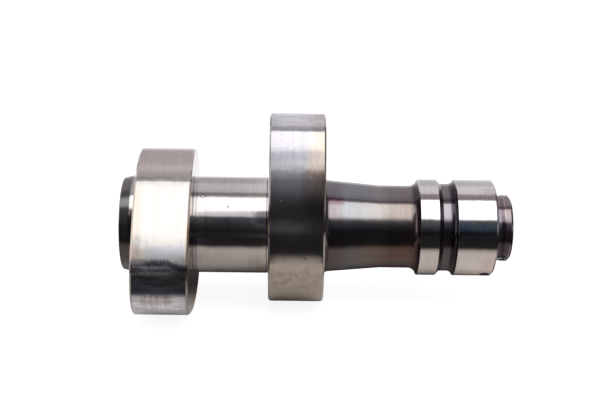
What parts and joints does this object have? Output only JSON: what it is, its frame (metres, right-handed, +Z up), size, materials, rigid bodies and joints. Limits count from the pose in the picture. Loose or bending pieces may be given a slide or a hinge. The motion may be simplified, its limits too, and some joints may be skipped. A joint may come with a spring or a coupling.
{
  "type": "camshaft",
  "caption": "One-piece ground steel camshaft with wide cam lobes either side of a centre journal, a tapered neck, a collar, a drive journal and a spigot.",
  "frame": {"origin": "on the shaft's axis, at the middle of the centre journal", "axes": "+X along the shaft to its drive end, +Z up as the camshaft lies at rest on its two lobes"},
  "size_m": [0.1, 0.0478, 0.0504],
  "materials": {
    "ground_steel": "ground, with heat tint on the neck"
  },
  "bodies": {
    "root": {"camshaft": "ground_steel"}
  },
  "joints": []
}
